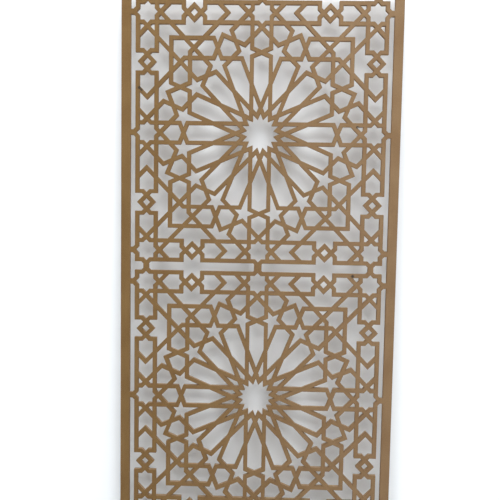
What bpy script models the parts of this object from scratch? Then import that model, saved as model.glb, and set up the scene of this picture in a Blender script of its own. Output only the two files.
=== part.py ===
"""A fretwork grille panel: one flat board, cut through with two tiles of a sixteen-fold rosette.

Metres, +Z up. The front faces -Y, and the origin is on the back face, in the middle of the top rail.
The straps are laid out as centre-lines, the cells between them are found, and each cell is drawn in by
half the width of the bars around it, which leaves the outline of one opening. Points of the flat design
are complex numbers, across and up, so that a turn is a product.
"""

import cmath
import math

import bpy
from mathutils.geometry import delaunay_2d_cdt

# The board
WIDTH = 0.600
HEIGHT = 1.200
THICKNESS = 0.009

# Plain frame, the slots inside it and between the tiles, and the bridges that cross the slots
FRAME = 0.020
EDGE_SLOT = 0.0105
MIDDLE_SLOT = 0.0187
MIDDLE_BRIDGE = 0.0165
BRIDGE = 0.0120

# Fretwork: the strap, and the star, lozenge and notch measured across between centre-lines
STRAP = 0.0088
STAR = 0.0405
LOZENGE = 0.0287
NOTCH = 0.0456

# Openings with less area than this, in square metres, stay closed
SMALLEST_OPENING = 0.00015

# Raw fibreboard
BOARD_COLOUR = (0.284, 0.166, 0.072, 1.0)
BOARD_ROUGHNESS = 0.8

# The design is drawn on a square of half side 1, then stretched to half a tile's width and height
TILE_X = WIDTH / 2 - FRAME - EDGE_SLOT - STRAP / 2 - STAR / 2
NEAR = STAR / 2 / TILE_X
TILE_Z = (HEIGHT / 2 - FRAME - EDGE_SLOT - STRAP - MIDDLE_SLOT / 2) / (2 + 2 * NEAR)
TILE_RISE = MIDDLE_SLOT / 2 + STRAP / 2 + (1 + NEAR) * TILE_Z

# Distances in the square: a star's tip from its centre, the rings of straps, the rails and the lozenge
TIP = NEAR * math.sqrt(2)
INNER = math.sqrt(0.5) - NEAR
OUTER = math.sqrt(0.5) + NEAR
LOW = 1 - NEAR
HIGH = 1 + NEAR
LOZENGE_AT = math.sqrt(0.5) - TIP
LOZENGE_HALF = LOZENGE / 2 / TILE_X
NOTCH_HALF = NOTCH / 2 / TILE_X
STARS = [complex(x, y) for x in (-1, 0, 1) for y in (-1, 0, 1) if x or y]

# Turns that repeat the spokes and the sides, in degrees
SPOKE_TURN = 22.5
SIDE_TURN = 90

# Decimals of a metre that tell two points apart, the least run of an edge, and the turn in degrees up to
# which two edges count as one line
DECIMALS = 7
LEAST_RUN = 0.00001
SAME_LINE_TURN = 0.25

# The triangulation's output that keeps only the edges drawn and the cells between them
CELLS = 3


def line(angle, distance):
    """The line whose normal points at an angle in degrees, at a distance from the centre."""
    return cmath.rect(1, math.radians(angle)), distance


def meet(first, second):
    """The point where two lines, each a normal and a distance, cross."""
    (normal, distance), (other_normal, other_distance) = first, second
    across = (normal.conjugate() * other_normal).imag
    return 1j * (other_distance * normal - distance * other_normal) / across


def rosette_straps():
    """Left half of one spoke: the petal's side, the arch over it, and the house's wall and roof."""
    side = line(180, NEAR)
    ring = line(90, INNER)
    return [
        (meet(side, line(67.5, NEAR)), meet(side, line(112.5, INNER))),
        (meet(ring, line(22.5, NEAR)), meet(ring, line(202.5, NEAR))),
        (meet(side, line(67.5, INNER)), meet(side, line(135, INNER))),
        (meet(ring, line(157.5, INNER)), meet(ring, line(180, INNER))),
    ]


def border_straps():
    """Left half of the square's top side: its two rails, the stars on them and what ties them in."""
    slope = line(135, LOW)
    star_low = line(135, INNER)
    star_high = line(135, OUTER)
    corner_low = line(135, math.sqrt(2) - NEAR)
    spoke_left = line(202.5, NEAR)
    spoke_right = line(22.5, NEAR)
    ring = line(90, INNER)
    shelf = line(90, OUTER)
    top = line(90, HIGH)
    chevron = meet(slope, line(90, 1))
    corner_tip = complex(-1, 1 + TIP)
    straps = [
        (corner_tip, meet(line(45, NEAR), line(157.5, INNER))),
        (corner_tip, complex(-1 - TIP, 1)),
        (meet(corner_low, line(180, HIGH)), meet(corner_low, top)),
        (chevron, meet(slope, line(180, INNER))),
        (chevron, chevron + NEAR * (1j - 1)),
        (meet(shelf, line(180, OUTER)), meet(shelf, spoke_left)),
        (meet(spoke_left, line(157.5, INNER)), meet(spoke_left, shelf)),
        (meet(spoke_right, line(67.5, INNER)), meet(spoke_right, star_high)),
        (meet(spoke_right, star_high), complex(0, 1 + TIP)),
        (meet(star_low, line(67.5, INNER)), meet(star_low, top)),
        (meet(star_low, line(180, NEAR)), complex(-NEAR, HIGH)),
        (meet(ring, line(157.5, INNER)), meet(ring, slope)),
    ]
    for rail in (LOW, HIGH):
        straps.append((complex(0, rail), complex(NOTCH_HALF - LOZENGE_AT, rail)))
        straps.append((complex(-NOTCH_HALF - LOZENGE_AT, rail), complex(-HIGH, rail)))
    return straps + lozenge_straps()


def lozenge_straps():
    """The arms that cross to make the lozenge, and the notch sides that tie them to both rails."""
    straps = []
    for across in (-1, 1):
        for up in (-1, 1):
            corner = complex(across * NOTCH_HALF - LOZENGE_AT, 1 + up * (NOTCH_HALF - LOZENGE_HALF))
            straps.append((corner, complex(-LOZENGE_AT, 1 - up * LOZENGE_HALF)))
            straps.append((corner, complex(corner.real, 1 + up * NEAR)))
    return straps


def clear_of_stars(start, end):
    """What is left of a strap that stops at a star's outline and goes on beyond it."""
    along = (end - start) / abs(end - start)
    for star in STARS:
        seen = (star - start) / along
        touches = abs(abs(seen.imag) - NEAR) < LEAST_RUN
        if touches and -LEAST_RUN < seen.real < abs(end - start) + LEAST_RUN:
            middle = start + seen.real * along
            gap = (TIP - NEAR) * along
            pieces = [(start, middle - gap), (middle + gap, end)]
            return [piece for piece in pieces if ((piece[1] - piece[0]) / along).real > LEAST_RUN]
    return [(start, end)]


def tile_straps():
    """Every strap of one tile in the square."""
    straps = []
    for half, step in ((rosette_straps(), SPOKE_TURN), (border_straps(), SIDE_TURN)):
        pieces = [piece for strap in half for piece in clear_of_stars(*strap)]
        for i in range(round(360 / step)):
            turn = cmath.rect(1, math.radians(i * step))
            straps += [(start * turn, end * turn) for start, end in pieces]
            straps += [(-start.conjugate() * turn, -end.conjugate() * turn) for start, end in pieces]
    return straps


def bridges_and_frame():
    """The bars that cross the slots, and the four bars of the frame, as ends and width."""
    stile_x = (WIDTH - FRAME) / 2
    rail_z = (HEIGHT - FRAME) / 2
    tip_x = (1 + TIP) * TILE_X
    tip_z = (1 + TIP) * TILE_Z
    bars = []
    for side in (-1, 1):
        bars.append((complex(side * stile_x, -rail_z), complex(side * stile_x, rail_z), FRAME))
        bars.append((complex(-stile_x, side * rail_z), complex(stile_x, side * rail_z), FRAME))
        for rise in (-TILE_RISE, TILE_RISE):
            for z in (rise - TILE_Z, rise, rise + TILE_Z):
                bars.append((complex(side * tip_x, z), complex(side * stile_x, z), BRIDGE))
        for x in (-TILE_X, 0, TILE_X):
            bars.append((complex(x, side * (TILE_RISE + tip_z)), complex(x, side * rail_z), BRIDGE))
    for x, width in ((-TILE_X, BRIDGE), (0, MIDDLE_BRIDGE), (TILE_X, BRIDGE)):
        bars.append((complex(x, TILE_RISE - tip_z), complex(x, tip_z - TILE_RISE), width))
    return bars


def all_bars():
    """Every strap, bridge and frame bar of the board, as its two ends and its width."""
    bars = bridges_and_frame()
    for rise in (-TILE_RISE, TILE_RISE):
        for ends in tile_straps():
            start, end = [complex(p.real * TILE_X, p.imag * TILE_Z + rise) for p in ends]
            bars.append((start, end, STRAP))
    return bars


def area(outline):
    """The area inside an outline, positive when it runs anticlockwise."""
    ends = outline[1:] + outline[:1]
    return sum((start.conjugate() * end).imag for start, end in zip(outline, ends)) / 2


def turn_between(first, second):
    """The turn from one direction to another, in degrees from -180 to 180."""
    return math.degrees(cmath.phase(second / first))


def parallel(first, second):
    """Whether two directions run along the same line, the same way or opposite ways."""
    return abs(math.remainder(turn_between(first, second), 2 * SIDE_TURN)) < SAME_LINE_TURN


def drawn_in(corners, widths):
    """A cell's outline moved in by half the width of the bar on each edge, or nothing if it closes up."""
    sides = []
    for start, end, width in zip(corners, corners[1:] + corners[:1], widths):
        along = (end - start) / abs(end - start)
        if not sides or abs(turn_between(sides[-1][0], along)) > SAME_LINE_TURN:
            inward = along * 1j
            sides.append((along, (inward, (inward.conjugate() * start).real + width / 2)))
    if abs(turn_between(sides[-1][0], sides[0][0])) < SAME_LINE_TURN:
        sides.pop()
    while len(sides) > 2:
        if any(parallel(sides[i - 1][0], sides[i][0]) for i in range(len(sides))):
            return []
        outline = [meet(sides[i - 1][1], sides[i][1]) for i in range(len(sides))]
        ends = outline[1:] + outline[:1]
        runs = [((end - start) / side[0]).real for start, end, side in zip(outline, ends, sides)]
        if min(runs) > LEAST_RUN:
            return outline
        sides.pop(runs.index(min(runs)))
    return []


def openings():
    """The outline of every opening in the board, about the board's centre."""
    bars = all_bars()
    ends = [(round(end.real, DECIMALS), round(end.imag, DECIMALS)) for bar in bars for end in bar[:2]]
    edges = [(i, i + 1) for i in range(0, len(ends), 2)]
    points, edges, cells, _, sources, _ = delaunay_2d_cdt(ends, edges, [], CELLS, LEAST_RUN)
    width = {frozenset(edge): max(bars[i][2] for i in found) for edge, found in zip(edges, sources)}
    outlines = []
    for cell in cells:
        cell = list(cell)
        if area([complex(*points[i]) for i in cell]) < 0:
            cell.reverse()
        widths = [width[frozenset(edge)] for edge in zip(cell, cell[1:] + cell[:1])]
        outline = drawn_in([complex(*points[i]) for i in cell], widths)
        if outline and area(outline) > SMALLEST_OPENING:
            outlines.append(outline)
    return outlines


def board_material():
    material = bpy.data.materials.new("Raw_Fibreboard")
    material.use_nodes = True
    shader = material.node_tree.nodes["Principled BSDF"]
    shader.inputs["Base Color"].default_value = BOARD_COLOUR
    shader.inputs["Roughness"].default_value = BOARD_ROUGHNESS
    return material


def add_outline(curve, outline):
    """Adds one closed loop of straight edges to a flat curve."""
    spline = curve.splines.new("POLY")
    spline.points.add(len(outline) - 1)
    for point, corner in zip(spline.points, outline):
        point.co = (corner.real, corner.imag, 0, 1)
    spline.use_cyclic_u = True


def build_panel(collection):
    """The board as a flat curve with holes, stood up so that its back lies in the plane of the origin."""
    curve = bpy.data.curves.new("Grille_Panel", "CURVE")
    curve.dimensions = "2D"
    curve.fill_mode = "BOTH"
    curve.extrude = THICKNESS / 2
    corner = complex(WIDTH / 2, HEIGHT / 2)
    add_outline(curve, [-corner, corner.conjugate(), corner, -corner.conjugate()])
    for outline in openings():
        add_outline(curve, outline)
    curve.materials.append(board_material())
    panel = bpy.data.objects.new("Grille_Panel", curve)
    panel.rotation_euler = (math.radians(90), 0, 0)
    panel.location = (0, -THICKNESS / 2, (FRAME - HEIGHT) / 2)
    collection.objects.link(panel)


def main():
    for old in list(bpy.data.objects):
        bpy.data.objects.remove(old, do_unlink=True)
    collection = bpy.data.collections.new("Decorative_Grille_Panel")
    bpy.context.scene.collection.children.link(collection)
    build_panel(collection)


main()
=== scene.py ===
# %% [markdown]
# # A fretwork grille panel
# The real object is one flat board of raw fibreboard, about as tall as a door's glass, cut right through
# with two square tiles of a star-and-strap pattern. This file dresses its solid model for a picture. The
# solid model comes in first as a fixed frame: it says how big the board is and where it hangs, and every
# later size is either read from it or named here.

# %% Load the solid model and keep its box
import cmath
import math

import bmesh
import bpy
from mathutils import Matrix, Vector
from mathutils.geometry import delaunay_2d_cdt


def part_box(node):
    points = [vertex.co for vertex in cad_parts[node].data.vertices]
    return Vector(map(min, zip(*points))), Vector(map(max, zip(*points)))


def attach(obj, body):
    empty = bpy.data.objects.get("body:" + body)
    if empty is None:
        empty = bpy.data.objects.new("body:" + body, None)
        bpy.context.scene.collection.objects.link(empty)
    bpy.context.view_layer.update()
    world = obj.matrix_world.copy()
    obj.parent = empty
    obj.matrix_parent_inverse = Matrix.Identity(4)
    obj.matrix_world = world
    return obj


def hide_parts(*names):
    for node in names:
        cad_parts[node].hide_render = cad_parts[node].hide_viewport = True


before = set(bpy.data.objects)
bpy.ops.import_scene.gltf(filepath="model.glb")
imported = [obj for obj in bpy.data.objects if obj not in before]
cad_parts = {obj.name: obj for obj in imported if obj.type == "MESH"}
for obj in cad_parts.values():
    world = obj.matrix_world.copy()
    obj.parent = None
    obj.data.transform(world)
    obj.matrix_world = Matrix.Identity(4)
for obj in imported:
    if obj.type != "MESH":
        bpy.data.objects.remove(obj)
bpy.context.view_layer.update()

DIGITS = 4
low, high = [Vector(corner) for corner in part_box("Grille_Panel")]
WIDTH, THICKNESS, HEIGHT = high - low
CENTRE = (low + high) / 2
print("board", [round(size, DIGITS) for size in (WIDTH, HEIGHT, THICKNESS)], "centre", CENTRE[:])

# %% [markdown]
# ## The camera
# The photograph was taken from a step and a half away, a little above the middle of the board and looking
# slightly down and to the left. A camera is placed before anything is modelled, because it says how fine
# the work has to be: here one pixel covers 2.2 mm of board. Its place is given from the middle of the
# board's front, so it follows the board.

# %% Camera
CAMERA_FROM_FRONT = Vector((0.0278, -1.518, 0.159))
LEVEL = 90
LOOK_DOWN, ROLL, LOOK_LEFT = 4.53, -0.968, 1.785
SENSOR = 36.0
LENS = 50.4

front_centre = Vector((CENTRE.x, low.y, CENTRE.z))
camera = bpy.data.objects.new("Camera", bpy.data.cameras.new("Camera"))
camera.location = front_centre + CAMERA_FROM_FRONT
camera.rotation_euler = [math.radians(turn) for turn in (LEVEL - LOOK_DOWN, ROLL, LOOK_LEFT)]
camera.data.sensor_width = SENSOR
camera.data.lens = LENS
bpy.context.scene.collection.objects.link(camera)
bpy.context.scene.camera = camera
print("camera stands", round(CAMERA_FROM_FRONT.length, DIGITS), "m from the middle of the board")

# %% [markdown]
# ## The pattern, as lines on paper
# A craftsman draws such a pattern as thin centre-lines first and gives them width later. Tracing every
# opening by eye would give hundreds of wobbly outlines, so the lines are worked out instead. Each tile is
# a square of half side 1. A point is one complex number, across and up, which makes a turn a product, and
# a line is the angle of its normal with its distance from the middle of the tile. Every line of the design
# points at a multiple of 22.5 degrees, so the angles are written out in degrees. Sizes are in metres.

# %% The sizes that drive the pattern
FRAME = 0.020
EDGE_SLOT = 0.0105
MIDDLE_SLOT = 0.0187
MIDDLE_BRIDGE = 0.0165
BRIDGE = 0.0120
STRAP = 0.0088
STAR = 0.0405
LOZENGE = 0.0287
NOTCH = 0.0456
FULL_TURN = 360
SPOKE_TURN = FULL_TURN / 16
SIDE_TURN = FULL_TURN / 4

TILE_X = WIDTH / 2 - FRAME - EDGE_SLOT - STRAP / 2 - STAR / 2
NEAR = STAR / 2 / TILE_X
TILE_Z = (HEIGHT / 2 - FRAME - EDGE_SLOT - STRAP - MIDDLE_SLOT / 2) / (2 + 2 * NEAR)
TILE_RISE = MIDDLE_SLOT / 2 + STRAP / 2 + (1 + NEAR) * TILE_Z
TIP = NEAR * math.sqrt(2)
INNER, OUTER = math.sqrt(0.5) - NEAR, math.sqrt(0.5) + NEAR
LOW, HIGH = 1 - NEAR, 1 + NEAR
LOZENGE_AT = math.sqrt(0.5) - TIP
LOZENGE_HALF = LOZENGE / 2 / TILE_X
NOTCH_HALF = NOTCH / 2 / TILE_X
STARS = [complex(x, y) for x in (-1, 0, 1) for y in (-1, 0, 1) if x or y]
tile_size = [round(2 * half * HIGH, DIGITS) for half in (TILE_X, TILE_Z)]
print("one tile is", tile_size[0], "by", tile_size[1], "m over its rails")


# %% Lines and where they cross
def line(angle, distance):
    """The line whose normal points at an angle in degrees, at a distance from the middle."""
    return cmath.rect(1, math.radians(angle)), distance


def meet(first, second):
    """The point where two lines, each a normal and a distance, cross."""
    (normal, distance), (other_normal, other_distance) = first, second
    across = (normal.conjugate() * other_normal).imag
    return 1j * (other_distance * normal - distance * other_normal) / across


shoulder = meet(line(180, NEAR), line(90, INNER))
print("a petal's shoulder lies", round(abs(shoulder), DIGITS), "of half a side from the middle")

# %% [markdown]
# ## The rosette
# Sixteen petals stand round a sixteen-pointed opening. Only the left half of one spoke has to be known:
# the petal's long side, the arch over its head, and the wall and roof of the little house outside it. The
# rest is that half mirrored and turned sixteen times.


# %% Half a spoke
def rosette_straps():
    """Left half of one spoke: the petal's side, the arch over it, and the house's wall and roof."""
    side = line(180, NEAR)
    ring = line(90, INNER)
    return [
        (meet(side, line(67.5, NEAR)), meet(side, line(112.5, INNER))),
        (meet(ring, line(22.5, NEAR)), meet(ring, line(202.5, NEAR))),
        (meet(side, line(67.5, INNER)), meet(side, line(135, INNER))),
        (meet(ring, line(157.5, INNER)), meet(ring, line(180, INNER))),
    ]


print(len(rosette_straps()), "straps make half a spoke")

# %% [markdown]
# ## The border
# Round the rosette runs a band between two rails. Eight-pointed stars sit on its corners and middles, and
# between them come houses, arrows, chevrons and a lozenge whose crossing arms also notch both rails. As
# before, half of one side is enough, and four turns with their mirror images make the square.


# %% The lozenge and its notches
def lozenge_straps():
    """The arms that cross to make the lozenge, and the notch sides that tie them to both rails."""
    straps = []
    for across in (-1, 1):
        for up in (-1, 1):
            corner = complex(across * NOTCH_HALF - LOZENGE_AT, 1 + up * (NOTCH_HALF - LOZENGE_HALF))
            straps.append((corner, complex(-LOZENGE_AT, 1 - up * LOZENGE_HALF)))
            straps.append((corner, complex(corner.real, 1 + up * NEAR)))
    return straps


print(len(lozenge_straps()), "short straps make a lozenge and its notches")


# %% Half a side
def border_straps():
    """Left half of the square's top side: its two rails, the stars on them and what ties them in."""
    slope = line(135, LOW)
    star_low = line(135, INNER)
    star_high = line(135, OUTER)
    corner_low = line(135, math.sqrt(2) - NEAR)
    spoke_left = line(202.5, NEAR)
    spoke_right = line(22.5, NEAR)
    ring = line(90, INNER)
    shelf = line(90, OUTER)
    top = line(90, HIGH)
    chevron = meet(slope, line(90, 1))
    corner_tip = complex(-1, 1 + TIP)
    straps = [
        (corner_tip, meet(line(45, NEAR), line(157.5, INNER))),
        (corner_tip, complex(-1 - TIP, 1)),
        (meet(corner_low, line(180, HIGH)), meet(corner_low, top)),
        (chevron, meet(slope, line(180, INNER))),
        (chevron, chevron + NEAR * (1j - 1)),
        (meet(shelf, line(180, OUTER)), meet(shelf, spoke_left)),
        (meet(spoke_left, line(157.5, INNER)), meet(spoke_left, shelf)),
        (meet(spoke_right, line(67.5, INNER)), meet(spoke_right, star_high)),
        (meet(spoke_right, star_high), complex(0, 1 + TIP)),
        (meet(star_low, line(67.5, INNER)), meet(star_low, top)),
        (meet(star_low, line(180, NEAR)), complex(-NEAR, HIGH)),
        (meet(ring, line(157.5, INNER)), meet(ring, slope)),
    ]
    for rail in (LOW, HIGH):
        straps.append((complex(0, rail), complex(NOTCH_HALF - LOZENGE_AT, rail)))
        straps.append((complex(-NOTCH_HALF - LOZENGE_AT, rail), complex(-HIGH, rail)))
    return straps + lozenge_straps()


print(len(border_straps()), "straps make half a side")

# %% [markdown]
# ## Straps that stop at a star
# The stars are clear openings: a strap that reaches one goes round its points and carries on beyond it.
# Cutting each strap where it touches a star's outline is simpler than drawing it in two pieces by hand.

# %% One tile
LEAST_RUN = 0.00001


def clear_of_stars(start, end):
    """What is left of a strap that stops at a star's outline and goes on beyond it."""
    along = (end - start) / abs(end - start)
    for star in STARS:
        seen = (star - start) / along
        touches = abs(abs(seen.imag) - NEAR) < LEAST_RUN
        if touches and -LEAST_RUN < seen.real < abs(end - start) + LEAST_RUN:
            middle = start + seen.real * along
            gap = (TIP - NEAR) * along
            pieces = [(start, middle - gap), (middle + gap, end)]
            return [piece for piece in pieces if ((piece[1] - piece[0]) / along).real > LEAST_RUN]
    return [(start, end)]


def tile_straps():
    """Every strap of one tile in the square."""
    straps = []
    for half, step in ((rosette_straps(), SPOKE_TURN), (border_straps(), SIDE_TURN)):
        pieces = [piece for strap in half for piece in clear_of_stars(*strap)]
        for i in range(round(FULL_TURN / step)):
            turn = cmath.rect(1, math.radians(i * step))
            straps += [(start * turn, end * turn) for start, end in pieces]
            straps += [(-start.conjugate() * turn, -end.conjugate() * turn) for start, end in pieces]
    return straps


print("one tile has", len(tile_straps()), "lengths of strap")

# %% [markdown]
# ## The frame and the bridges
# A plain frame runs round the board. Slots part it from the tiles and the tiles from each other, and short
# bridges at the tips of the stars cross the slots, so that the whole panel stays one piece of board. A bar
# is kept as its two ends and its width.


# %% Every bar of the board
def bridges_and_frame():
    """The bars that cross the slots, and the four bars of the frame, as ends and width."""
    stile_x = (WIDTH - FRAME) / 2
    rail_z = (HEIGHT - FRAME) / 2
    tip_x = (1 + TIP) * TILE_X
    tip_z = (1 + TIP) * TILE_Z
    bars = []
    for side in (-1, 1):
        bars.append((complex(side * stile_x, -rail_z), complex(side * stile_x, rail_z), FRAME))
        bars.append((complex(-stile_x, side * rail_z), complex(stile_x, side * rail_z), FRAME))
        for rise in (-TILE_RISE, TILE_RISE):
            for z in (rise - TILE_Z, rise, rise + TILE_Z):
                bars.append((complex(side * tip_x, z), complex(side * stile_x, z), BRIDGE))
        for x in (-TILE_X, 0, TILE_X):
            bars.append((complex(x, side * (TILE_RISE + tip_z)), complex(x, side * rail_z), BRIDGE))
    for x, width in ((-TILE_X, BRIDGE), (0, MIDDLE_BRIDGE), (TILE_X, BRIDGE)):
        bars.append((complex(x, TILE_RISE - tip_z), complex(x, tip_z - TILE_RISE), width))
    return bars


def all_bars():
    """Every strap, bridge and frame bar of the board, as its two ends and its width."""
    bars = bridges_and_frame()
    for rise in (-TILE_RISE, TILE_RISE):
        for ends in tile_straps():
            start, end = [complex(p.real * TILE_X, p.imag * TILE_Z + rise) for p in ends]
            bars.append((start, end, STRAP))
    return bars


print("the board has", len(all_bars()), "bars")

# %% [markdown]
# ## From lines to openings
# The centre-lines cut the board into cells, like leading in a window. Each cell, drawn in by half the
# width of the bar on each of its edges, is the outline of one opening. The saw follows exactly that
# outline, so working it out this way gives straps of one true width, and sharp meeting points, for free.


# %% Draw a cell in
DECIMALS = 7
SAME_LINE_TURN = 0.25
CELLS = 3


def turn_between(first, second):
    """The turn from one direction to another, in degrees from -180 to 180."""
    return math.degrees(cmath.phase(second / first))


def parallel(first, second):
    """Whether two directions run along the same line, the same way or opposite ways."""
    return abs(math.remainder(turn_between(first, second), FULL_TURN / 2)) < SAME_LINE_TURN


def drawn_in(corners, widths):
    """A cell's outline moved in by half the width of the bar on each edge, or nothing if it closes up."""
    sides = []
    for start, end, width in zip(corners, corners[1:] + corners[:1], widths):
        along = (end - start) / abs(end - start)
        if not sides or abs(turn_between(sides[-1][0], along)) > SAME_LINE_TURN:
            inward = along * 1j
            sides.append((along, (inward, (inward.conjugate() * start).real + width / 2)))
    if abs(turn_between(sides[-1][0], sides[0][0])) < SAME_LINE_TURN:
        sides.pop()
    while len(sides) > 2:
        if any(parallel(sides[i - 1][0], sides[i][0]) for i in range(len(sides))):
            return []
        outline = [meet(sides[i - 1][1], sides[i][1]) for i in range(len(sides))]
        ends = outline[1:] + outline[:1]
        runs = [((end - start) / side[0]).real for start, end, side in zip(outline, ends, sides)]
        if min(runs) > LEAST_RUN:
            return outline
        sides.pop(runs.index(min(runs)))
    return []


square = [STAR * corner for corner in (0j, 1 + 0j, 1 + 1j, 1j)]
print("a square as wide as a star draws in to", drawn_in(square, [STRAP] * len(square)))


# %% Find the cells and their openings
def area(outline):
    """The area inside an outline, positive when it runs anticlockwise."""
    ends = outline[1:] + outline[:1]
    return sum((start.conjugate() * end).imag for start, end in zip(outline, ends)) / 2


def find_openings():
    """The outline of every opening in the board, about the board's centre, anticlockwise."""
    bars = all_bars()
    ends = [(round(end.real, DECIMALS), round(end.imag, DECIMALS)) for bar in bars for end in bar[:2]]
    edges = [(i, i + 1) for i in range(0, len(ends), 2)]
    points, edges, cells, _, sources, _ = delaunay_2d_cdt(ends, edges, [], CELLS, LEAST_RUN)
    width = {frozenset(edge): max(bars[i][2] for i in found) for edge, found in zip(edges, sources)}
    outlines = []
    for cell in cells:
        cell = list(cell)
        if area([complex(*points[i]) for i in cell]) < 0:
            cell.reverse()
        widths = [width[frozenset(edge)] for edge in zip(cell, cell[1:] + cell[:1])]
        outlines.append(drawn_in([complex(*points[i]) for i in cell], widths))
    return [outline for outline in outlines if outline]


openings = find_openings()
half_board = complex(WIDTH / 2, HEIGHT / 2)
contour = [half_board.conjugate(), -half_board, -half_board.conjugate(), half_board]
contour.sort(key=cmath.phase, reverse=True)
open_share = sum(area(outline) for outline in openings) / (WIDTH * HEIGHT)
print(len(openings), "openings with", sum(map(len, openings)), "corners")
print("they take", round(open_share, DIGITS), "of the board")

# %% [markdown]
# ## Corners that a cutter leaves
# No cutter leaves a perfect corner. Inside corners keep the radius of the tool, outside corners are rubbed
# round in handling, and a light pass with sandpaper breaks every edge. A Bevel modifier would have to
# guess among thousands of edges and overlap at the narrow star points. Here each corner becomes a short
# arc, and each loop is repeated as rings: a scorched margin on the face, the broken edge, the wall, and
# the same again at the back.

# %% One loop as rings
TOOL_RADIUS = 0.0005
BROKEN_EDGE = 0.0003
MARGIN = 0.0012
SHARPEST_RING = 0.00003
ARC_TURN = 32
LEAST_ARC_STEPS = 2
CORNER_SHARE = 0.45


def corner_arcs(outline):
    """For each corner: its place, its mitre, its signed radius, and the directions round its arc."""
    arcs = []
    for i, corner in enumerate(outline):
        before = corner - outline[i - 1]
        after = outline[(i + 1) % len(outline)] - corner
        turn = cmath.phase(after / before)
        first = -1j * before / abs(before)
        mitre = first * (1 + cmath.rect(1, turn)) / (1 + math.cos(turn))
        room = CORNER_SHARE * min(abs(before), abs(after)) / abs(math.tan(turn / 2))
        radius = math.copysign(min(TOOL_RADIUS, room), turn)
        steps = max(LEAST_ARC_STEPS, math.ceil(abs(math.degrees(turn)) / ARC_TURN))
        directions = [first * cmath.rect(1, turn * k / steps) for k in range(steps + 1)]
        arcs.append((corner, mitre, radius, directions))
    return arcs


def ring(arcs, inset):
    """The loop's rounded outline, moved into the board by an inset."""
    points = []
    for corner, mitre, radius, directions in arcs:
        reach = radius + inset
        if radius < 0:
            reach = min(reach, -SHARPEST_RING)
        points += [corner - radius * mitre + reach * direction for direction in directions]
    return points


arcs = corner_arcs(openings[0])
print("the first opening has", len(arcs), "corners and", len(ring(arcs, 0)), "points round them")

# %% [markdown]
# ## The board itself
# All rings go into one mesh. Between two rings the faces are plain quads, from the margin line to the
# broken edge they fan out round each corner, and Blender's own fill closes the flat front and back between
# the margin lines. Because only corners are points, the flat faces stay cheap. Every point keeps a number
# called edge, 1 at a cut and 0 at the margin line, which the finish uses to place scorch and wear.

# %% Rings joined into one board
BREAK_ANGLES = (90, 45, 0)
profile = []
for side, face_y in ((1, low.y), (-1, high.y)):
    for angle in BREAK_ANGLES[:: side]:
        inset = BROKEN_EDGE * (1 - math.cos(math.radians(angle)))
        depth = BROKEN_EDGE * (1 - math.sin(math.radians(angle)))
        profile.append((inset, face_y + side * depth))

board = bmesh.new()
edge_mark = board.verts.layers.float.new("edge")


def add_point(point, y, mark):
    """A point of the flat pattern, stood up at a depth, with its distance mark."""
    vert = board.verts.new((CENTRE.x + point.real, y, CENTRE.z + point.imag))
    vert[edge_mark] = mark
    return vert


def next_to(items):
    """Each item with the one after it, round a loop."""
    return zip(items, items[1:] + items[:1])


def add_margin(arcs, rounded, y):
    """The margin line of one loop, and the faces between it and the broken edge."""
    margin = [add_point(corner + MARGIN * mitre, y, 0.0) for corner, mitre, _, _ in arcs]
    start = 0
    for i, (_, _, _, directions) in enumerate(arcs):
        end = start + len(directions) - 1
        for k in range(start, end):
            board.faces.new((margin[i], rounded[k], rounded[k + 1]))
        after = (i + 1) % len(arcs)
        board.faces.new((margin[i], rounded[end], rounded[(end + 1) % len(rounded)], margin[after]))
        start = end + 1
    return [board.edges.get(pair) for pair in next_to(margin)]


margin_edges = {low.y: [], high.y: []}
for outline in [contour] + openings:
    arcs = corner_arcs(outline)
    rings = [[add_point(point, y, 1.0) for point in ring(arcs, inset)] for inset, y in profile]
    for upper, lower in zip(rings, rings[1:]):
        for (a, b), (c, d) in zip(next_to(upper), next_to(lower)):
            board.faces.new((a, b, d, c))
    margin_edges[low.y] += add_margin(arcs, rings[0], low.y)
    margin_edges[high.y] += add_margin(arcs, rings[-1], high.y)
print("rings give", len(board.verts), "points and", len(board.faces), "faces")

# %% Fill the flat faces and check that the board is closed
for edges in margin_edges.values():
    bmesh.ops.triangle_fill(board, use_beauty=True, use_dissolve=False, edges=edges)
bmesh.ops.recalc_face_normals(board, faces=board.faces)
open_edges = sum(not edge.is_manifold for edge in board.edges)
smallest = min(face.calc_area() for face in board.faces)
print("open edges:", open_edges, "volume:", board.calc_volume(), "m3, smallest face:", smallest, "m2")

# %% [markdown]
# ## Two finishes on one board
# The front and back are the pressed, sanded skin of the sheet. The walls are the cut core, which is
# rougher, and paler in its middle. They stay one piece with two materials, as on the real board. Each face
# takes its material by where it lies: one whose normal runs through the board is skin, all others are cut.
# Smooth shading rounds the broken edges, and edges that turn further than the arcs do stay crisp.

# %% The board as an object
SKIN, CUT = 0, 1
FLAT_TURN = 1
SHARP_TURN = 50

skin_faces = [face for face in board.faces if abs(face.normal.y) > math.cos(math.radians(FLAT_TURN))]
for face in board.faces:
    face.material_index = CUT
    face.smooth = True
for face in skin_faces:
    face.material_index = SKIN
mesh = bpy.data.meshes.new("Fretwork_Board")
board.to_mesh(mesh)
board.free()
mesh.set_sharp_from_angle(angle=math.radians(SHARP_TURN))
panel = bpy.data.objects.new("Fretwork_Board", mesh)
bpy.context.scene.collection.objects.link(panel)
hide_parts("Grille_Panel")
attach(panel, "root")
triangles = sum(len(polygon.vertices) - 2 for polygon in mesh.polygons)
print("board mesh:", triangles, "triangles,", len(skin_faces), "skin faces")

# %% [markdown]
# ## Small helpers for shader nodes
# A node tree is quicker to read as a list of sentences than as a picture of wires. These helpers add a
# node with its settings, feed a socket with either a value or another node's output, and start a group
# with named sockets.


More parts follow.
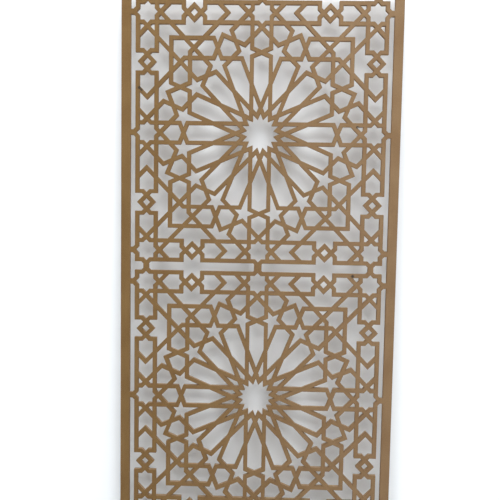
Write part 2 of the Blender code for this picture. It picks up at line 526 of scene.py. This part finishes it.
# %% Node helpers: nodes and arithmetic
def add_node(tree, kind, inputs=None, **settings):
    """A node with its properties set, and its inputs set to values or linked to other sockets."""
    node = tree.nodes.new("ShaderNode" + kind)
    for name, value in settings.items():
        setattr(node, name, value)
    for name, value in (inputs or {}).items():
        if isinstance(value, bpy.types.NodeSocket):
            tree.links.new(value, node.inputs[name])
        else:
            node.inputs[name].default_value = value
    return node


def sums(tree, operation, first, second=0.0, third=0.0):
    """One step of arithmetic, as an output socket."""
    return add_node(tree, "Math", {0: first, 1: second, 2: third}, operation=operation).outputs[0]


print("helpers add_node and sums are ready")


# %% Node helpers: colours, masks and noise
# A Mix node has sockets for numbers, vectors and colours: these are the ones for colours.
MIX_FACTOR, MIX_UNDER, MIX_OVER, MIXED = 0, 6, 7, 2


def blend(tree, factor, first, second, how="MIX"):
    """Two colours mixed by a factor, as an output socket."""
    inputs = {MIX_FACTOR: factor, MIX_UNDER: first, MIX_OVER: second}
    return add_node(tree, "Mix", inputs, data_type="RGBA", blend_type=how).outputs[MIXED]


def lay(tree, under, over, mask, strength):
    """One colour laid over another where a mask shows, at most as strongly as given."""
    return blend(tree, sums(tree, "MULTIPLY", mask, strength), under, over)


def between(tree, value, start, end):
    """A mask that goes from 0 to 1 as a value goes from start to end."""
    inputs = {"Value": value, "From Min": start, "From Max": end}
    return add_node(tree, "MapRange", inputs, interpolation_type="SMOOTHSTEP").outputs[0]


def noise(tree, place, scale, detail, **more):
    """Cloudy noise with so many lumps to the metre, as a value that hovers round a half."""
    inputs = {"Vector": place, "Scale": scale, "Detail": detail, **more}
    return add_node(tree, "TexNoise", inputs).outputs[0]


print("helpers blend, lay, between and noise are ready")


# %% Node helpers: groups
def new_group(name, inputs, outputs):
    """A node group with named sockets, and its two end nodes."""
    tree = bpy.data.node_groups.new(name, "ShaderNodeTree")
    for direction, sockets in (("INPUT", inputs), ("OUTPUT", outputs)):
        for socket, kind in sockets.items():
            tree.interface.new_socket(name=socket, in_out=direction, socket_type="NodeSocket" + kind)
    start = tree.nodes.new("NodeGroupInput")
    end = tree.nodes.new("NodeGroupOutput")
    return tree, start.outputs, end.inputs


print("helper new_group is ready")

# %% [markdown]
# ## Pressed fibre
# Fibreboard is wood boiled to fluff and pressed flat. Close up it shows short pale and dark fibres lying
# every way, and from a step back only soft clouds of warmer and cooler brown. Two noises give both: a fine
# one, stretched by a coarser one so that its specks become little hairs, and a broad one for the clouds.
# It is a group because the skin and the cut core are the same stuff and need it at different strengths.


# %% Group: pressed fibre
NOISE_LOW, NOISE_HIGH = 0.3, 0.7
HAIRS_A_LENGTH = 2.2
STRAY_DETAIL = 1.0
HAIR_DETAIL, HAIR_ROUGHNESS, HAIR_CURL = 6.0, 0.62, 0.9
CLOUD_DETAIL = 4.0


def fibre_group():
    """Hair-fine specks and broad clouds, each from 0 to 1, from a place in metres."""
    sockets = {"Place": "Vector", "Fibre Length": "Float", "Cloud Size": "Float"}
    tree, given, made = new_group("Pressed_Fibre", sockets, {"Hairs": "Float", "Clouds": "Float"})
    place = given["Place"]
    per_fibre = sums(tree, "DIVIDE", 1.0, given["Fibre Length"])
    per_cloud = sums(tree, "DIVIDE", 1.0, given["Cloud Size"])
    coarse = {"Vector": place, "Scale": per_fibre, "Detail": STRAY_DETAIL}
    stray = add_node(tree, "TexNoise", coarse).outputs["Color"]
    strayed = add_node(tree, "VectorMath", {0: stray, "Scale": given["Fibre Length"]}, operation="SCALE")
    bent = add_node(tree, "VectorMath", {0: place, 1: strayed.outputs[0]}, operation="ADD").outputs[0]
    per_hair = sums(tree, "MULTIPLY", per_fibre, HAIRS_A_LENGTH)
    hairs = noise(tree, bent, per_hair, HAIR_DETAIL, Roughness=HAIR_ROUGHNESS, Distortion=HAIR_CURL)
    clouds = noise(tree, place, per_cloud, CLOUD_DETAIL)
    tree.links.new(between(tree, hairs, NOISE_LOW, NOISE_HIGH), made["Hairs"])
    tree.links.new(between(tree, clouds, NOISE_LOW, NOISE_HIGH), made["Clouds"])
    return tree


PRESSED_FIBRE = fibre_group()
print("group", PRESSED_FIBRE.name, "with", len(PRESSED_FIBRE.nodes), "nodes")

# %% [markdown]
# ## Browning beside the cuts
# Cutting heats the board, so a thin brown margin follows every opening, stronger in some places than in
# others. It starts from the number called edge on the points of the mesh, which is the surest way to know
# where a cut is, and a noise makes it uneven. Finding the edges with a bevel or pointiness node instead
# would be lost in the exported model.

# %% Group: scorch beside a cut
LEAST_SCORCH = 0.05
PATCH_DETAIL = 3.0
SWING_SIZE, SWING_START = 2.0, -1.0


def scorch_group():
    """How scorched a place is, from the mesh's edge number, a place, and how uneven it should be."""
    sockets = {"Place": "Vector", "Patch Size": "Float", "Unevenness": "Float"}
    tree, given, made = new_group("Scorch_Beside_Cut", sockets, {"Scorch": "Float"})
    mark = add_node(tree, "Attribute", attribute_name="edge").outputs["Fac"]
    per_patch = sums(tree, "DIVIDE", 1.0, given["Patch Size"])
    patches = noise(tree, given["Place"], per_patch, PATCH_DETAIL)
    swing = sums(tree, "MULTIPLY_ADD", patches, SWING_SIZE, SWING_START)
    uneven = sums(tree, "MULTIPLY_ADD", swing, given["Unevenness"], mark)
    tree.links.new(between(tree, uneven, LEAST_SCORCH, 1.0), made["Scorch"])
    return tree


SCORCH = scorch_group()
print("group", SCORCH.name, "with", len(SCORCH.nodes), "nodes")

# %% [markdown]
# ## The strokes of a tool
# Sandpaper leaves long fine strokes on the faces, and a chattering cutter leaves short lines across the
# walls. To a shader both are one thing: a noise squeezed across the strokes and drawn out along them. So
# one group makes either, and each material says how many strokes a metre holds along each axis.


# %% Group: tool strokes
def stroke_group():
    """Strokes that hover round a half, from a place and how many a metre holds along each axis."""
    sockets = {"Place": "Vector", "Strokes a Metre": "Vector", "Detail": "Float"}
    tree, given, made = new_group("Tool_Strokes", sockets, {"Strokes": "Float"})
    factors = {0: given["Place"], 1: given["Strokes a Metre"]}
    squeezed = add_node(tree, "VectorMath", factors, operation="MULTIPLY").outputs[0]
    tree.links.new(noise(tree, squeezed, 1.0, given["Detail"]), made["Strokes"])
    return tree


TOOL_STROKES = stroke_group()
print("group", TOOL_STROKES.name, "with", len(TOOL_STROKES.nodes), "nodes")

# %% [markdown]
# ## Dark marks
# The photographed board has three small dark marks: a long one in the angle of a house at the left, made
# here of two blots, and two specks at the right. Each blot has a named place, measured in metres from the
# middle of the board's front, and a ragged rim from a noise.

# %% Group: one dark mark
MARKS = (
    ("left house, upper", (-0.2608, 0.3841), 0.0046),
    ("left house, lower", (-0.2566, 0.3795), 0.0036),
    ("right of the upper rosette", (0.2078, 0.3057), 0.0038),
    ("between the tiles", (0.2063, -0.0147), 0.0042),
)
RAGS_A_METRE = 600.0
BLOT_CORE, BLOT_RIM = 1.0, 1.5


def mark_group():
    """One ragged blot of a given size at a given place."""
    sockets = {"Place": "Vector", "Centre": "Vector", "Size": "Float"}
    tree, given, made = new_group("Dark_Mark", sockets, {"Mark": "Float"})
    away = add_node(tree, "VectorMath", {0: given["Place"], 1: given["Centre"]}, operation="DISTANCE")
    reach = sums(tree, "DIVIDE", away.outputs["Value"], given["Size"])
    torn = sums(tree, "ADD", reach, noise(tree, given["Place"], RAGS_A_METRE, PATCH_DETAIL))
    tree.links.new(between(tree, torn, BLOT_RIM, BLOT_CORE), made["Mark"])
    return tree


DARK_MARK = mark_group()


def add_marks(tree, place):
    """All dark marks together, as one mask."""
    total = 0.0
    for name, (across, up), size in MARKS:
        centre = (CENTRE.x + across, low.y, CENTRE.z + up)
        mark = add_node(tree, "Group", node_tree=DARK_MARK, label=name)
        tree.links.new(place, mark.inputs["Place"])
        mark.inputs["Centre"].default_value = centre
        mark.inputs["Size"].default_value = size
        total = sums(tree, "MAXIMUM", total, mark.outputs["Mark"])
    return total


print(len(MARKS), "dark marks")

# %% [markdown]
# ## The skin of the board
# Raw board has no lacquer, so the finish is matt, with a faint sheen where the press polished it. The
# colour drifts slowly across the board, from plain tan at the left to paler and greyer at the right: the
# paler, greyer right side is a painted reflection, a soft sheen of light painted into the colour. Over that
# come clouds, single pale and dark fibres, lengthwise sanding strokes and the brown margins. Only shader
# sockets that vary over the surface are linked.

# %% Helpers for a material
def start_material(name):
    """A new material's tree, its Principled BSDF, and places on the piece in metres."""
    material = bpy.data.materials.new(name)
    material.use_nodes = True
    tree = material.node_tree
    place = add_node(tree, "TexCoord").outputs["Object"]
    return material, tree, tree.nodes["Principled BSDF"], place


def add_group(tree, group, place, **values):
    """A group node at a place, its values given by socket name with _ for each space."""
    node = add_node(tree, "Group", node_tree=group)
    tree.links.new(place, node.inputs["Place"])
    for name, value in values.items():
        node.inputs[name.replace("_", " ")].default_value = value
    return node.outputs


def part_of(tree, vector, axis):
    """One coordinate of a vector."""
    return add_node(tree, "SeparateXYZ", {0: vector}).outputs[axis]


def finish_surface(tree, shader, rough, relief, strength, depth):
    """Links the roughness and a bump of a height to the shader."""
    tree.links.new(rough, shader.inputs["Roughness"])
    bump = add_node(tree, "Bump", {"Strength": strength, "Distance": depth, "Height": relief})
    tree.links.new(bump.outputs[0], shader.inputs["Normal"])


print("helpers start_material, add_group, part_of and finish_surface are ready")


# %% The board's colour drifts from left to right
# The tan at the right is paler and greyer than at the left: a painted reflection, a soft sheen of light
# painted into the colour.
BOARD_TAN = (0.157, 0.088, 0.024, 1.0)
PAINTED_REFLECTION_TAN = (0.202, 0.125, 0.061, 1.0)
DRIFTS_A_METRE = 5.0
DRIFT_WAVER = 0.25


def painted_reflection_across(tree, place):
    """The painted reflection's mask: 0 at the board's left edge to 1 at its right, wavering a little."""
    waver = noise(tree, place, DRIFTS_A_METRE, PATCH_DETAIL)
    across = sums(tree, "MULTIPLY_ADD", waver, DRIFT_WAVER, part_of(tree, place, "X"))
    middle = CENTRE.x + DRIFT_WAVER / 2
    return between(tree, across, middle - WIDTH / 2, middle + WIDTH / 2)


print("the skin goes from", BOARD_TAN[:3], "at the left to", PAINTED_REFLECTION_TAN[:3], "at the right")

# %% Colours and sizes of the skin's detail
CLOUD_SHADE = (0.860, 0.820, 0.780, 1.0)
PALE_FIBRE = (0.330, 0.215, 0.110, 1.0)
DARK_FIBRE = (0.085, 0.044, 0.017, 1.0)
SCORCHED = (0.095, 0.048, 0.018, 1.0)
# Near-black, laid over the four small blots at their listed places.
MARK_BLACK = (0.020, 0.014, 0.009, 1.0)
SKIN_FIBRE, SKIN_CLOUD = 0.0016, 0.07
SKIN_SCORCH_PATCH, SKIN_SCORCH_UNEVEN = 0.012, 0.35
SANDING = (1100.0, 40.0, 14.0)
SANDING_DETAIL = 3.0
SANDED_FROM, SANDED_TO = 0.5, 0.8
PALE_HAIRS, DARK_HAIRS = 0.62, 0.38
PALE_STRENGTH, DARK_STRENGTH, SANDED_STRENGTH, SCORCH_STRENGTH = 0.34, 0.46, 0.12, 0.75
SKIN_ROUGH, CLOUD_ROUGH, SANDED_ROUGH = 0.62, 0.10, 0.12
SANDED_RELIEF = 0.4
SKIN_BUMP, SKIN_BUMP_DEPTH = 0.25, 0.0001
SKIN_SPECULAR, SKIN_SHEEN = 0.3, 0.05
print("fibres", SKIN_FIBRE, "m long, clouds", SKIN_CLOUD, "m wide")


# %% Material: sanded skin
def skin_material():
    """The matt tan face and back of the board."""
    material, tree, shader, place = start_material("Sanded_Skin")
    fibre = add_group(tree, PRESSED_FIBRE, place, Fibre_Length=SKIN_FIBRE, Cloud_Size=SKIN_CLOUD)
    uneven = {"Patch_Size": SKIN_SCORCH_PATCH, "Unevenness": SKIN_SCORCH_UNEVEN}
    scorch = add_group(tree, SCORCH, place, **uneven)["Scorch"]
    strokes = add_group(tree, TOOL_STROKES, place, Strokes_a_Metre=SANDING, Detail=SANDING_DETAIL)
    sanding = strokes["Strokes"]
    pale = between(tree, fibre["Hairs"], PALE_HAIRS, 1.0)
    dark = between(tree, fibre["Hairs"], DARK_HAIRS, 0.0)
    # Painted reflection: the colour drifts paler and greyer towards the right.
    colour = blend(tree, painted_reflection_across(tree, place), BOARD_TAN, PAINTED_REFLECTION_TAN)
    colour = blend(tree, fibre["Clouds"], colour, blend(tree, 1.0, colour, CLOUD_SHADE, "MULTIPLY"))
    colour = lay(tree, colour, PALE_FIBRE, pale, PALE_STRENGTH)
    colour = lay(tree, colour, DARK_FIBRE, dark, DARK_STRENGTH)
    colour = lay(tree, colour, PALE_FIBRE, between(tree, sanding, SANDED_FROM, SANDED_TO), SANDED_STRENGTH)
    colour = lay(tree, colour, SCORCHED, scorch, SCORCH_STRENGTH)
    # The four small blots are darkened to near-black.
    colour = blend(tree, add_marks(tree, place), colour, MARK_BLACK)
    tree.links.new(colour, shader.inputs["Base Color"])
    rough = sums(tree, "MULTIPLY_ADD", fibre["Clouds"], CLOUD_ROUGH, SKIN_ROUGH)
    rough = sums(tree, "MULTIPLY_ADD", sanding, SANDED_ROUGH, rough)
    relief = sums(tree, "MULTIPLY_ADD", sanding, SANDED_RELIEF, fibre["Hairs"])
    finish_surface(tree, shader, rough, relief, SKIN_BUMP, SKIN_BUMP_DEPTH)
    shader.inputs["Specular IOR Level"].default_value = SKIN_SPECULAR
    shader.inputs["Sheen Weight"].default_value = SKIN_SHEEN
    return material


mesh.materials.append(skin_material())
print("material", mesh.materials[SKIN].name)

# %% [markdown]
# ## The cut core
# Inside the openings the board shows how it was pressed: dense and brown close to both faces, paler and
# looser in the middle. The depth of a place in the board gives that band. A cutter leaves fine lines
# through the board where it chattered, made here by a noise that is long through the board and short along
# the wall. A little pale dust lies on the walls that look up, found from the surface's own direction.

# %% Bands through the board's thickness
LOOSE_CORE, DENSE_SKIN = 0.10, 0.48
BAND_WAVES_A_METRE, BAND_WAVER = 170.0, 0.0012


def density(tree, place):
    """From 0 in the loose middle of the board's thickness to 1 near its faces, a little wavy."""
    waver = noise(tree, place, BAND_WAVES_A_METRE, PATCH_DETAIL)
    depth = sums(tree, "SUBTRACT", part_of(tree, place, "Y"), CENTRE.y)
    from_middle = sums(tree, "MULTIPLY_ADD", waver, BAND_WAVER, sums(tree, "ABSOLUTE", depth))
    return between(tree, from_middle, LOOSE_CORE * THICKNESS, DENSE_SKIN * THICKNESS)


print("the core is dense from", round(DENSE_SKIN * THICKNESS, DIGITS), "m off its middle")

# %% Dust on what looks up
DUST_PATCHES_A_METRE, DUST_DETAIL = 170.0, 5.0
DUSTY_FROM = 0.3


def dust_on_top(tree, place):
    """Patchy dust, from 0 to 1, on what looks up."""
    up = part_of(tree, add_node(tree, "NewGeometry").outputs["Normal"], "Z")
    clumps = noise(tree, place, DUST_PATCHES_A_METRE, DUST_DETAIL)
    patches = between(tree, clumps, NOISE_LOW, NOISE_HIGH)
    return sums(tree, "MULTIPLY", between(tree, up, DUSTY_FROM, 1.0), patches)


print("dust lies in about", round(DUST_PATCHES_A_METRE), "patches to the metre")

# %% Colours and sizes of the core's detail
CORE = (0.300, 0.200, 0.108, 1.0)
CORE_DENSE = (0.185, 0.110, 0.052, 1.0)
CORE_LINE = (0.165, 0.098, 0.045, 1.0)
DUSTY = (0.360, 0.290, 0.205, 1.0)
CORE_FIBRE, CORE_CLOUD = 0.0009, 0.03
CORE_SCORCH_PATCH, CORE_SCORCH_UNEVEN = 0.008, 0.5
CHATTER = (2400.0, 45.0, 2400.0)
CHATTER_DETAIL = 2.0
LINE_FROM, LINE_TO = 0.45, 0.7
LINE_STRENGTH, FIBRE_STRENGTH, BURN_STRENGTH, DUST_STRENGTH = 0.45, 0.3, 0.2, 0.35
CORE_ROUGH, CHATTER_ROUGH = 0.78, 0.15
CHATTER_RELIEF = 0.5
CORE_BUMP, CORE_BUMP_DEPTH = 0.4, 0.0002
CORE_SPECULAR = 0.2
print("the cutter left about", round(CHATTER[0]), "lines to the metre")


# %% Material: cut core
def cut_material():
    """The rough walls of the openings and the board's outer edges."""
    material, tree, shader, place = start_material("Cut_Core")
    fibre = add_group(tree, PRESSED_FIBRE, place, Fibre_Length=CORE_FIBRE, Cloud_Size=CORE_CLOUD)
    uneven = {"Patch_Size": CORE_SCORCH_PATCH, "Unevenness": CORE_SCORCH_UNEVEN}
    scorch = add_group(tree, SCORCH, place, **uneven)["Scorch"]
    strokes = add_group(tree, TOOL_STROKES, place, Strokes_a_Metre=CHATTER, Detail=CHATTER_DETAIL)
    chatter = strokes["Strokes"]
    colour = blend(tree, density(tree, place), CORE, CORE_DENSE)
    colour = lay(tree, colour, CORE_LINE, between(tree, chatter, LINE_FROM, LINE_TO), LINE_STRENGTH)
    colour = lay(tree, colour, PALE_FIBRE, fibre["Hairs"], FIBRE_STRENGTH)
    colour = lay(tree, colour, SCORCHED, scorch, BURN_STRENGTH)
    colour = lay(tree, colour, DUSTY, dust_on_top(tree, place), DUST_STRENGTH)
    # The four small blots are darkened to near-black.
    colour = blend(tree, add_marks(tree, place), colour, MARK_BLACK)
    tree.links.new(colour, shader.inputs["Base Color"])
    rough = sums(tree, "MULTIPLY_ADD", chatter, CHATTER_ROUGH, CORE_ROUGH)
    relief = sums(tree, "MULTIPLY_ADD", chatter, CHATTER_RELIEF, fibre["Hairs"])
    finish_surface(tree, shader, rough, relief, CORE_BUMP, CORE_BUMP_DEPTH)
    shader.inputs["Specular IOR Level"].default_value = CORE_SPECULAR
    return material


mesh.materials.append(cut_material())
print("material", mesh.materials[CUT].name)

# %% [markdown]
# ## The studio
# The board stands on a pale floor, two fingers' width in front of a pale wall. The wall is there for the
# openings: where the fretwork shades it, it turns a soft grey, and beside the board it stays white, as in
# the photograph. A world colour alone would make both the same. The closer the wall, the less light leaks
# in round the frame, and the more of the straps' soft shadows it shows. It can be seen through from
# behind, so that the back of the board can be looked at too.

# %% Group: rolled paint
PAINT_DETAIL, NAP_DETAIL = 5.0, 2.0


def paint_group():
    """Faint clouds in a coat of paint, and the nap that the roller left in it."""
    sockets = {"Place": "Vector", "Clouds a Metre": "Float", "Nap a Metre": "Float"}
    tree, given, made = new_group("Rolled_Paint", sockets, {"Clouds": "Float", "Nap": "Float"})
    tree.links.new(noise(tree, given["Place"], given["Clouds a Metre"], PAINT_DETAIL), made["Clouds"])
    tree.links.new(noise(tree, given["Place"], given["Nap a Metre"], NAP_DETAIL), made["Nap"])
    return tree


ROLLED_PAINT = paint_group()
print("group", ROLLED_PAINT.name, "with", len(ROLLED_PAINT.nodes), "nodes")

# %% Paints
WALL_PAINT = (0.855, 0.893, 0.930, 1.0)
WALL_PAINT_DEEP = (0.825, 0.863, 0.900, 1.0)
FLOOR_PAINT = (0.80, 0.80, 0.79, 1.0)
FLOOR_PAINT_DEEP = (0.76, 0.76, 0.75, 1.0)
CLOUDS_A_METRE, NAP_A_METRE = 2.5, 350.0
NAP_STRENGTH, NAP_DEPTH = 0.1, 0.0002
PAINT_ROUGHNESS = 0.9


def painted(name, paint, deep):
    """Matt paint with faint rolled clouds."""
    material, tree, shader, place = start_material(name)
    coat = add_group(tree, ROLLED_PAINT, place, Clouds_a_Metre=CLOUDS_A_METRE, Nap_a_Metre=NAP_A_METRE)
    tree.links.new(blend(tree, coat["Clouds"], paint, deep), shader.inputs["Base Color"])
    nap = {"Strength": NAP_STRENGTH, "Distance": NAP_DEPTH, "Height": coat["Nap"]}
    tree.links.new(add_node(tree, "Bump", nap).outputs[0], shader.inputs["Normal"])
    shader.inputs["Roughness"].default_value = PAINT_ROUGHNESS
    return material


def one_sided(material):
    """Lets light and sight through a sheet from behind."""
    tree = material.node_tree
    shader = tree.nodes["Principled BSDF"]
    clear = add_node(tree, "BsdfTransparent")
    behind = add_node(tree, "NewGeometry").outputs["Backfacing"]
    shadow = add_node(tree, "LightPath").outputs["Is Shadow Ray"]
    through = sums(tree, "MAXIMUM", behind, shadow)
    mix = add_node(tree, "MixShader", {0: through, 1: shader.outputs[0], 2: clear.outputs[0]})
    tree.links.new(mix.outputs[0], tree.nodes["Material Output"].inputs["Surface"])
    return material


wall_paint = one_sided(painted("Wall_Paint", WALL_PAINT, WALL_PAINT_DEEP))
floor_paint = painted("Floor_Paint", FLOOR_PAINT, FLOOR_PAINT_DEEP)
print("paints", wall_paint.name, "and", floor_paint.name)

# %% Floor and wall
WALL_GAP = 0.034
FLOOR_DROP = 0.0005
STAGE_HALF = 4.0
STAGE_TOP = 3.0


def flat_sheet(name, corners, material):
    """A flat sheet of the stage."""
    sheet_mesh = bpy.data.meshes.new(name)
    sheet_mesh.from_pydata(corners, [], [range(len(corners))])
    sheet_mesh.materials.append(material)
    sheet = bpy.data.objects.new(name, sheet_mesh)
    bpy.context.scene.collection.objects.link(sheet)
    return sheet


floor_z = low.z - FLOOR_DROP
wall_y = high.y + WALL_GAP
ends = (-STAGE_HALF, STAGE_HALF)
round_trip = ends + ends[::-1]
wall_corners = [(x, wall_y, z) for x, z in zip(round_trip, (floor_z, floor_z, STAGE_TOP, STAGE_TOP))]
floor_corners = [(x, y, floor_z) for x, y in zip(round_trip, sorted(round_trip))]
for name, corners, paint in (("Wall", wall_corners, wall_paint), ("Floor", floor_corners, floor_paint)):
    print(flat_sheet("Studio_" + name, corners, paint).name, "from", [round(at, DIGITS) for at in corners[0]])

# %% [markdown]
# ## The light
# The straps should read as flat brown with soft edges, so the light is broad: one large panel above and in
# front, a weak one behind the camera at the right, and one behind for the back. The upper tile lies nearer
# to the large one, and so comes out a little brighter than the lower, as it does in the photograph. That
# panel stands in the middle, because from one side it would cast the stile's shadow on the wall beside the
# board. Colours are shown without a film look, so that white paint stays white. The sky sends little light,
# but looks pale where the camera sees it past the wall and the floor.

# %% Lights
# Each light's name, place, aim, size and power. Places and aims are from the middle of the board's front.
LIGHTS = (
    ("Key_Panel", (0, -1.6, 2.25), (0, 0, 0.1), 2.6, 113),
    ("Front_Fill", (0.9, -2.2, 0.7), (0, 0, 0.2), 1.4, 7),
    ("Back_Fill", (0.6, 2.4, 1.2), (0, 0, 0), 2.0, 30),
)


def soft_light(name, place, aim, size, power):
    """A square panel of light at a place, turned to a point."""
    lamp = bpy.data.lights.new(name, "AREA")
    lamp.size = size
    lamp.energy = power
    lamp_object = bpy.data.objects.new(name, lamp)
    lamp_object.location = front_centre + Vector(place)
    towards = Vector(aim) - Vector(place)
    lamp_object.rotation_euler = towards.to_track_quat("-Z", "Y").to_euler()
    lamp_object.visible_camera = False
    bpy.context.scene.collection.objects.link(lamp_object)
    return lamp_object


lamps = [soft_light(*light) for light in LIGHTS]
print("lights:", [lamp.name for lamp in lamps])

# %% Sky
SKY = (1.0, 1.0, 1.0, 1.0)
SKY_STRENGTH = 0.30
SEEN_SKY_STRENGTH = 0.80

world = bpy.data.worlds.new("Pale_Sky")
world.use_nodes = True
sky_tree = world.node_tree
sky = sky_tree.nodes["Background"]
sky.inputs["Color"].default_value = SKY
seen = add_node(sky_tree, "LightPath").outputs["Is Camera Ray"]
strength = sums(sky_tree, "MULTIPLY_ADD", seen, SEEN_SKY_STRENGTH - SKY_STRENGTH, SKY_STRENGTH)
sky_tree.links.new(strength, sky.inputs["Strength"])
bpy.context.scene.world = world
bpy.context.scene.view_settings.view_transform = "Standard"
print("sky", SKY_STRENGTH, "strong, and", SEEN_SKY_STRENGTH, "where it is seen")
